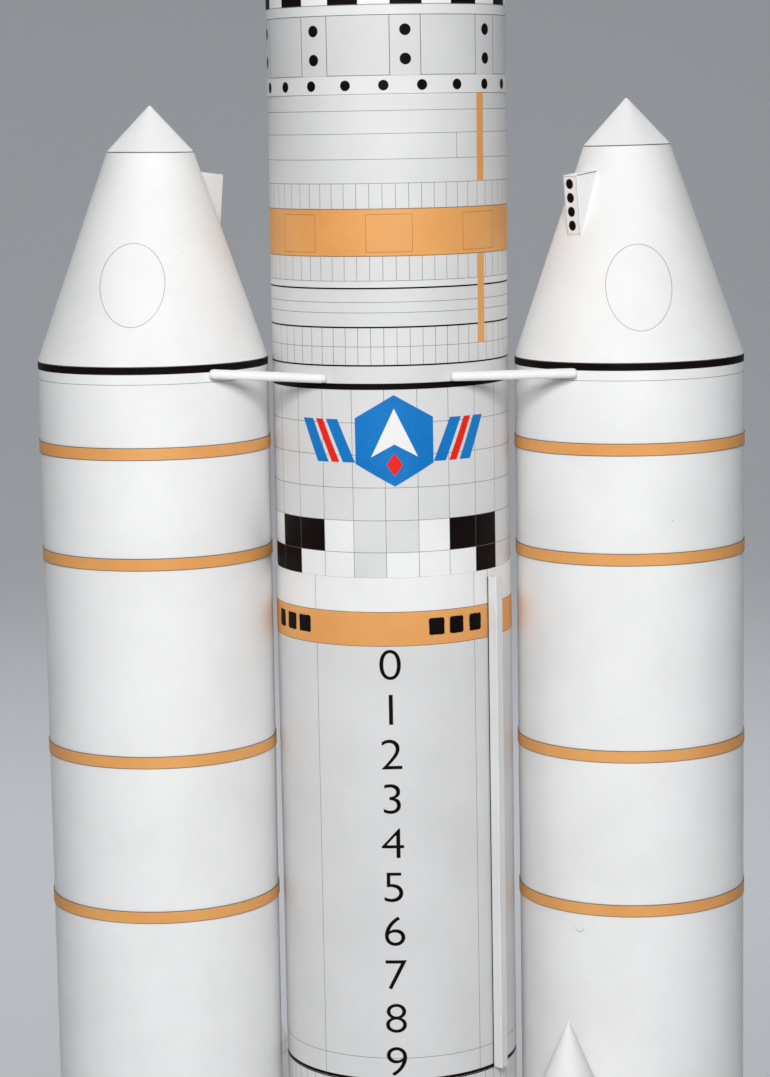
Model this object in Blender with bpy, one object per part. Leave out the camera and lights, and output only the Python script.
# Card scale model of a two-booster space rocket, standing upright on its booster nozzles.
# Metres, +Z up, the floor at Z = 0, the front of the model towards -Y, a booster at each side on X.

import math

import bmesh
import bpy
from mathutils import Matrix, Vector

# Driving dimensions
BODY_RADIUS = 0.03175        # rolled tube of the first stage, one sheet wide
CARD = 0.00025               # one thickness of card
SIDES = 48                   # facets around a large tube
SMALL_SIDES = 24             # facets around a bell or a side tank
ROD_SIDES = 12               # facets around a strut rod
JOINT_GAP = 0.0001           # glue line between two stacked tubes
SEAT_GAP = 0.0003            # glue line between a piece and the tube that carries it

RING_RADIUS = BODY_RADIUS + CARD             # strip glued around a tube
SLEEVE_RADIUS = BODY_RADIUS + 0.3 * CARD     # thin printed wrap around a tube
UPPER_RADIUS = BODY_RADIUS - CARD            # tubes above the first stage, rolled one layer tighter

# The second stage is glued on a little off, leaning towards the right booster; all above it is off as much
STACK_LEAN = 0.0055
STACK_LEAN_Z = (0.4659, 0.5412)

BOOSTER_X = 0.0642           # booster axis from the core axis
BOOSTER_RADIUS = 0.0307
COLLAR_RADIUS = BOOSTER_RADIUS + CARD
COLLAR_HEIGHT = 0.0032
NOSE_SHOULDER_RADIUS = 0.01145
NOSE_TIP_Z = 0.5392
NOSE_SHOULDER_Z = 0.5272
NOSE_BASE_Z = 0.4721
BOOSTER_SKIRT_TOP_Z = 0.0920
BOOSTER_SKIRT_BOTTOM_Z = 0.0460
BOOSTER_SKIRT_RADIUS = 0.0312

# Each booster is glued a little off: its stack stands higher or lower, and leans towards the core
BOOSTER_LIFT = {"booster_left": 0.0007, "booster_right": -0.0008}
BOOSTER_LEAN = {"booster_left": 0.0038, "booster_right": 0.0}
NOSE_LEAN = {"booster_left": 0.012, "booster_right": 0.005}
NOSE_STRETCH = {"booster_left": -0.0084, "booster_right": 0.0113}  # share of its height above its base
LEAN_START_Z = 0.2500

NOZZLE_RIM_SHIFT = 0.004824  # rim centre outboard of the booster axis, a cant of 6 degrees
NOZZLE_THROAT_RADIUS = 0.0130
NOZZLE_EXIT_RADIUS = 0.0270
NOZZLE_WALL = 0.0012

TANK_RADIUS = 0.0110
TANK_AZIMUTH = math.radians(-29.8)
TANK_TIP_Z = 0.2976
TANK_SHOULDER_Z = 0.2722
TANK_BOTTOM_Z = 0.1300

POD_AZIMUTH = {"booster_left": math.radians(-60.0), "booster_right": math.radians(-54.0)}
POD_REACH = (0.0202, 0.0206)  # foot and head of the outer face from the booster axis
POD_WIDTH = 0.0060
POD_TOP_Z = 0.5204
POD_BACK_RISE = 0.0009       # the head's back edge stands this much above its outer edge
POD_BOTTOM_Z = 0.5041

BELL_X = 0.0145
BELL_EXIT_RADIUS = 0.0115
BELL_EXIT_Z = 0.0305
BELL_THROAT_RADIUS = 0.0030
BELL_THROAT_Z = 0.0605
BELL_CHAMBER_RADIUS = 0.0048
BELL_WALL = 0.0008
CORE_BOTTOM_Z = 0.0700

RACEWAY_AZIMUTH = math.radians(51.8)
RACEWAY_WIDTH = 0.0029
RACEWAY_HEIGHT = 0.00265

ROD_RADIUS = 0.00125

# Strut rods: name, side, front or rear, radius, X and Z where it rests on the core, X and Z on the booster
STRUT_RODS = [
    ("strut_left_front", -1, -1, UPPER_RADIUS, 0.0174, 0.4688, 0.0475, 0.4706),
    ("strut_right_front", 1, -1, UPPER_RADIUS, 0.0148, 0.4688, 0.0476, 0.4689),
    ("strut_left_rear", -1, 1, BODY_RADIUS, 0.0174, 0.1190, 0.0469, 0.1190),
    ("strut_right_rear", 1, 1, BODY_RADIUS, 0.0174, 0.1190, 0.0469, 0.1190),
]
SPACER_WIDTH = 0.0080
SPACER_TOP_Z = 0.1140
SPACER_BOTTOM_Z = 0.0980

# Paints: name, (red, green, blue), roughness
PAINTS = {
    "white": ((0.86, 0.86, 0.85), 0.62),
    "grey": ((0.70, 0.70, 0.70), 0.66),
    "orange": ((0.80, 0.34, 0.12), 0.60),
    "black": ((0.012, 0.010, 0.010), 0.50),
}

# Straight tubes of the core, upwards: name, bottom, top, radius, paint
CORE_TUBES = [
    ("core_aft_skirt", CORE_BOTTOM_Z, 0.0920, RING_RADIUS, "grey"),
    ("core_fuel_tube", 0.0920, 0.2180, BODY_RADIUS, "grey"),
    ("core_intertank", 0.2180, 0.2803, BODY_RADIUS, "grey"),
    ("core_oxidizer_tube", 0.2803, 0.3987, BODY_RADIUS, "grey"),
    ("core_vent_ring", 0.3987, 0.4078, SLEEVE_RADIUS, "orange"),
    ("core_forward_skirt", 0.4078, 0.4168, BODY_RADIUS, "white"),
    ("stage2_lower_tube", 0.4168, 0.4659, UPPER_RADIUS, "grey"),
    ("stage2_black_ring", 0.4659, 0.4675, UPPER_RADIUS, "black"),
    ("stage2_tank_tube", 0.4675, 0.5001, UPPER_RADIUS, "grey"),
    ("stage2_orange_sleeve", 0.5001, 0.5123, UPPER_RADIUS + 0.3 * CARD, "orange"),
    ("stage2_top_tube", 0.5123, 0.5412, UPPER_RADIUS, "grey"),
    ("dotted_ring", 0.5412, 0.5458, UPPER_RADIUS + CARD, "white"),
    ("panel_skirt", 0.5458, 0.5635, UPPER_RADIUS, "white"),
    ("checker_ring", 0.5635, 0.5802, UPPER_RADIUS, "white"),
    ("upper_stage_tube", 0.5802, 0.6500, UPPER_RADIUS, "white"),
    ("fairing_tube", 0.6500, 0.7760, UPPER_RADIUS, "white"),
]

FAIRING_CONE_Z = (0.7760, 0.8380)
FAIRING_SHOULDER_RADIUS = 0.0175
FAIRING_TIP_Z = 0.8750
FAIRING_TIP_RADIUS = 0.0060

# Upper edges of the raised booster collars, downwards; a tube hangs below each
COLLAR_TOPS = [0.4513, 0.4224, 0.3698, 0.3279, 0.2610, 0.1940, 0.1270]


def clear_scene():
    for item in list(bpy.data.objects):
        bpy.data.objects.remove(item, do_unlink=True)


def paint(node_name, paint_name):
    colour, roughness = PAINTS[paint_name]
    material = bpy.data.materials.new(node_name + "_" + paint_name)
    material.use_nodes = True
    shader = material.node_tree.nodes["Principled BSDF"]
    shader.inputs["Base Color"].default_value = (*colour, 1.0)
    shader.inputs["Roughness"].default_value = roughness
    shader.inputs["Metallic"].default_value = 0.0
    return material


def add_object(name, shape, paint_name, location=(0.0, 0.0, 0.0), turn=0.0):
    bmesh.ops.recalc_face_normals(shape, faces=shape.faces)
    mesh = bpy.data.meshes.new(name)
    shape.to_mesh(mesh)
    shape.free()
    mesh.shade_smooth()
    mesh.set_sharp_from_angle(angle=math.radians(30.0))
    mesh.materials.append(paint(name, paint_name))
    item = bpy.data.objects.new(name, mesh)
    item.location = location
    item.rotation_euler = (0.0, 0.0, turn)
    bpy.context.collection.objects.link(item)
    return item


def turned_shape(profile, sides):
    """Solid of revolution about Z from (radius, height) points that start and end on the axis."""
    shape = bmesh.new()
    corners = [shape.verts.new((radius, 0.0, height)) for radius, height in profile]
    edges = [shape.edges.new(pair) for pair in zip(corners, corners[1:])]
    bmesh.ops.spin(shape, geom=corners + edges, cent=(0, 0, 0), axis=(0, 0, 1),
                   angle=math.tau, steps=sides, use_merge=False, use_duplicate=False)
    bmesh.ops.remove_doubles(shape, verts=shape.verts, dist=1e-6)
    bmesh.ops.dissolve_degenerate(shape, edges=shape.edges, dist=1e-7)
    return shape


def tube_profile(bottom, top, radius):
    return [(0.0, bottom), (radius, bottom), (radius, top - JOINT_GAP), (0.0, top - JOINT_GAP)]


def box_shape(low, high):
    """Box between two corners, the start of the flat-sided pieces."""
    shape = bmesh.new()
    bmesh.ops.create_cube(shape, size=1.0)
    low, high = Vector(low), Vector(high)
    size = high - low
    centre = 0.5 * (low + high)
    bmesh.ops.scale(shape, vec=size, verts=shape.verts)
    bmesh.ops.translate(shape, vec=centre, verts=shape.verts)
    return shape


def prism_shape(outline, width):
    """Prism whose (x, z) outline is extruded along Y, centred on Y = 0."""
    shape = bmesh.new()
    corners = [shape.verts.new((x, -0.5 * width, z)) for x, z in outline]
    face = shape.faces.new(corners)
    grown = bmesh.ops.extrude_face_region(shape, geom=[face])
    moved = [item for item in grown["geom"] if isinstance(item, bmesh.types.BMVert)]
    bmesh.ops.translate(shape, vec=(0.0, width, 0.0), verts=moved)
    return shape


def facing_turn(azimuth):
    """Turn about Z that points local +X at an azimuth counted from the front, -Y, towards +X."""
    return azimuth - 0.5 * math.pi


def stack_shift(height):
    """How far the core's axis lies towards the right booster at a height above the floor."""
    low, high = STACK_LEAN_Z
    return STACK_LEAN * (min(max(height, low), high) - low)


def add_core(name, profile, paint_name):
    """Adds a turned piece of the core's stack, set off with its second stage."""
    shape = turned_shape(profile, SIDES)
    for corner in shape.verts:
        corner.co.x += stack_shift(corner.co.z)
    add_object(name, shape, paint_name)


def build_core_tubes():
    for name, bottom, top, radius, paint_name in CORE_TUBES:
        add_core(name, tube_profile(bottom, top, radius), paint_name)


def build_fairing_nose():
    bottom, top = FAIRING_CONE_Z
    cone = [(0.0, bottom), (UPPER_RADIUS, bottom),
            (FAIRING_SHOULDER_RADIUS, top - JOINT_GAP), (0.0, top - JOINT_GAP)]
    add_core("fairing_cone", cone, "white")
    centre_z = FAIRING_TIP_Z - FAIRING_TIP_RADIUS
    reach = math.hypot(FAIRING_SHOULDER_RADIUS, centre_z - top)
    lean = math.atan2(FAIRING_SHOULDER_RADIUS, centre_z - top)
    touch = math.pi - lean - math.acos(FAIRING_TIP_RADIUS / reach)
    cap = [(0.0, top), (FAIRING_SHOULDER_RADIUS, top)]
    steps = 4
    for step in range(steps + 1):
        angle = touch * (1.0 - step / steps)
        cap.append((FAIRING_TIP_RADIUS * math.sin(angle), centre_z + FAIRING_TIP_RADIUS * math.cos(angle)))
    cap[-1] = (0.0, FAIRING_TIP_Z)
    add_core("nose_cap", cap, "white")


def build_core_bells():
    outer = [(0.0, CORE_BOTTOM_Z - JOINT_GAP), (BELL_CHAMBER_RADIUS, CORE_BOTTOM_Z - JOINT_GAP),
             (BELL_CHAMBER_RADIUS, 0.5 * (CORE_BOTTOM_Z + BELL_THROAT_Z)),
             (BELL_THROAT_RADIUS, BELL_THROAT_Z)]
    flare = bell_flare(BELL_THROAT_RADIUS, BELL_THROAT_Z, BELL_EXIT_RADIUS, BELL_EXIT_Z)
    inner = [(radius - BELL_WALL, height) for radius, height in reversed(flare)]
    inner.append((0.0, BELL_THROAT_Z - 0.004))
    profile = outer + flare[1:] + inner[:-2] + inner[-1:]
    for side, name in ((-1, "core_bell_left"), (1, "core_bell_right")):
        add_object(name, turned_shape(profile, SMALL_SIDES), "grey", location=(side * BELL_X, 0.0, 0.0))


def bell_flare(throat_radius, throat_z, exit_radius, exit_z):
    """Points of a bell's curved wall, from the throat down to the exit."""
    points = []
    steps = 5
    for step in range(steps + 1):
        part = step / steps
        radius = throat_radius + (exit_radius - throat_radius) * math.sin(0.5 * math.pi * part) ** 0.9
        points.append((radius, throat_z + (exit_z - throat_z) * part))
    return points


def build_raceways():
    """Cable ducts along the first stage: name, bottom, top."""
    inner = SLEEVE_RADIUS + SEAT_GAP
    for name, bottom, top in (("raceway_upper", 0.2803, 0.4150), ("raceway_lower", 0.0960, 0.2180)):
        duct = box_shape((inner, -0.5 * RACEWAY_WIDTH, bottom),
                         (inner + RACEWAY_HEIGHT, 0.5 * RACEWAY_WIDTH, top))
        add_object(name, duct, "white", turn=facing_turn(RACEWAY_AZIMUTH))


def lean_shift(side_name, height):
    """How far a booster's axis has come towards the core at a height above the floor."""
    shift = BOOSTER_LEAN[side_name] * max(0.0, height - LEAN_START_Z)
    return shift + NOSE_LEAN[side_name] * max(0.0, height - NOSE_BASE_Z)


def add_stacked(name, side_name, shape, x, turn, stretch=0.0):
    """Adds a piece of a booster's stack; the core lies towards local -X on both sides."""
    for corner in shape.verts:
        corner.co.x -= lean_shift(side_name, corner.co.z)
        corner.co.z += stretch * max(0.0, corner.co.z - NOSE_BASE_Z)
    add_object(side_name + name, shape, "white", location=(x, 0.0, BOOSTER_LIFT[side_name]), turn=turn)


def build_booster_stack(side_name, x, turn):
    tip = [(0.0, NOSE_SHOULDER_Z), (NOSE_SHOULDER_RADIUS, NOSE_SHOULDER_Z), (0.0, NOSE_TIP_Z)]
    stretch = NOSE_STRETCH[side_name]
    add_stacked("_nose_tip", side_name, turned_shape(tip, SIDES), x, turn, stretch)
    cone = [(0.0, NOSE_BASE_Z), (BOOSTER_RADIUS, NOSE_BASE_Z),
            (NOSE_SHOULDER_RADIUS, NOSE_SHOULDER_Z - JOINT_GAP), (0.0, NOSE_SHOULDER_Z - JOINT_GAP)]
    add_stacked("_nose_cone", side_name, turned_shape(cone, SIDES), x, turn, stretch)
    forward = tube_profile(COLLAR_TOPS[0], NOSE_BASE_Z, BOOSTER_RADIUS)
    add_stacked("_forward_tube", side_name, turned_shape(forward, SIDES), x, turn)
    bottoms = COLLAR_TOPS[1:] + [BOOSTER_SKIRT_TOP_Z]
    for number, (top, bottom) in enumerate(zip(COLLAR_TOPS, bottoms), start=1):
        step_z = top - COLLAR_HEIGHT
        profile = [(0.0, bottom), (BOOSTER_RADIUS, bottom), (BOOSTER_RADIUS, step_z),
                   (COLLAR_RADIUS, step_z), (COLLAR_RADIUS, top - JOINT_GAP), (0.0, top - JOINT_GAP)]
        add_stacked("_segment_" + str(number), side_name, turned_shape(profile, SIDES), x, turn)
    skirt = tube_profile(BOOSTER_SKIRT_BOTTOM_Z, BOOSTER_SKIRT_TOP_Z, BOOSTER_SKIRT_RADIUS)
    add_stacked("_aft_skirt", side_name, turned_shape(skirt, SIDES), x, turn)


def build_booster_nozzle(side_name, x, outboard):
    """Cone canted outboard, its rim trimmed level so that the model stands on it."""
    top = BOOSTER_SKIRT_BOTTOM_Z + BOOSTER_LIFT[side_name] - JOINT_GAP
    roof = top - 3.0 * NOZZLE_WALL
    slope = (NOZZLE_EXIT_RADIUS - NOZZLE_THROAT_RADIUS) / top
    roof_radius = NOZZLE_THROAT_RADIUS + slope * (top - roof) - NOZZLE_WALL
    profile = [(0.0, top), (NOZZLE_THROAT_RADIUS, top), (NOZZLE_EXIT_RADIUS, 0.0),
               (NOZZLE_EXIT_RADIUS - NOZZLE_WALL, 0.0), (roof_radius, roof), (0.0, roof)]
    shape = turned_shape(profile, SIDES)
    for corner in shape.verts:
        corner.co.x += outboard * NOZZLE_RIM_SHIFT * (top - corner.co.z) / top
    add_object(side_name + "_nozzle", shape, "white", location=(x, 0.0, 0.0))


def build_side_tank(side_name, x, turn):
    reach = COLLAR_RADIUS + SEAT_GAP + TANK_RADIUS
    spot = Matrix.Rotation(turn, 3, "Z") @ Vector((reach * math.sin(TANK_AZIMUTH),
                                                    -reach * math.cos(TANK_AZIMUTH), 0.0))
    place = {"location": (x + spot.x, spot.y, 0.0), "turn": turn}
    tank = tube_profile(TANK_BOTTOM_Z, TANK_SHOULDER_Z, TANK_RADIUS)
    add_object(side_name + "_side_tank", turned_shape(tank, SMALL_SIDES), "white", **place)
    cone = [(0.0, TANK_SHOULDER_Z), (TANK_RADIUS, TANK_SHOULDER_Z), (0.0, TANK_TIP_Z)]
    add_object(side_name + "_side_tank_cone", turned_shape(cone, SMALL_SIDES), "white", **place)


def nose_radius_at(height):
    part = (NOSE_SHOULDER_Z - height) / (NOSE_SHOULDER_Z - NOSE_BASE_Z)
    return NOSE_SHOULDER_RADIUS + part * (BOOSTER_RADIUS - NOSE_SHOULDER_RADIUS)


def build_staging_pod(side_name, x, turn):
    """Wedge box of small motors whose back lies along the nose cone."""
    foot, head = POD_REACH
    back_top = POD_TOP_Z + POD_BACK_RISE
    outline = [(foot, POD_BOTTOM_Z), (head, POD_TOP_Z),
               (nose_radius_at(back_top) + SEAT_GAP, back_top),
               (nose_radius_at(POD_BOTTOM_Z) + SEAT_GAP, POD_BOTTOM_Z)]
    shape = prism_shape(outline, POD_WIDTH)
    bmesh.ops.rotate(shape, verts=shape.verts, cent=(0, 0, 0),
                     matrix=Matrix.Rotation(facing_turn(POD_AZIMUTH[side_name]), 3, "Z"))
    add_stacked("_staging_pod", side_name, shape, x, turn)


def rod_shape(start, end):
    """Round rod between two points."""
    start, end = Vector(start), Vector(end)
    shape = bmesh.new()
    bmesh.ops.create_cone(shape, cap_ends=True, segments=ROD_SIDES, radius1=ROD_RADIUS,
                          radius2=ROD_RADIUS, depth=(end - start).length)
    turn = (end - start).to_track_quat("Z", "Y").to_matrix().to_4x4()
    bmesh.ops.transform(shape, matrix=Matrix.Translation(0.5 * (start + end)) @ turn, verts=shape.verts)
    return shape


def resting_y(tube_radius, offset_x):
    """Distance in front of a tube's axis at which a rod's end just clears the tube."""
    return math.sqrt((tube_radius + SEAT_GAP) ** 2 - offset_x ** 2) + ROD_RADIUS


def build_strut_rods():
    for name, side, depth, core_radius, core_x, core_z, booster_x, booster_z in STRUT_RODS:
        side_name = "booster_left" if side < 0 else "booster_right"
        offset = BOOSTER_X - lean_shift(side_name, booster_z) - booster_x
        start = (side * core_x, depth * resting_y(core_radius, core_x), core_z)
        end = (side * booster_x, depth * resting_y(BOOSTER_RADIUS, offset), booster_z)
        add_object(name, rod_shape(start, end), "white")


def build_aft_spacers():
    """Blocks that hold the tails of the boosters off the core."""
    inner = BODY_RADIUS + SEAT_GAP
    outer = BOOSTER_X - BOOSTER_RADIUS - SEAT_GAP
    for side, side_name in ((-1, "left"), (1, "right")):
        faces = sorted((side * inner, side * outer))
        block = box_shape((faces[0], -0.5 * SPACER_WIDTH, SPACER_BOTTOM_Z),
                          (faces[1], 0.5 * SPACER_WIDTH, SPACER_TOP_Z))
        add_object("aft_spacer_" + side_name, block, "white")


def build_boosters():
    """The left booster is the right one turned half a turn about the core axis, but for its fit."""
    for side_name, x, turn in (("booster_left", -BOOSTER_X, math.pi), ("booster_right", BOOSTER_X, 0.0)):
        build_booster_stack(side_name, x, turn)
        build_booster_nozzle(side_name, x, math.copysign(1.0, x))
        build_side_tank(side_name, x, turn)
        build_staging_pod(side_name, x, turn)


def main():
    clear_scene()
    build_core_tubes()
    build_fairing_nose()
    build_core_bells()
    build_raceways()
    build_boosters()
    build_strut_rods()
    build_aft_spacers()


main()
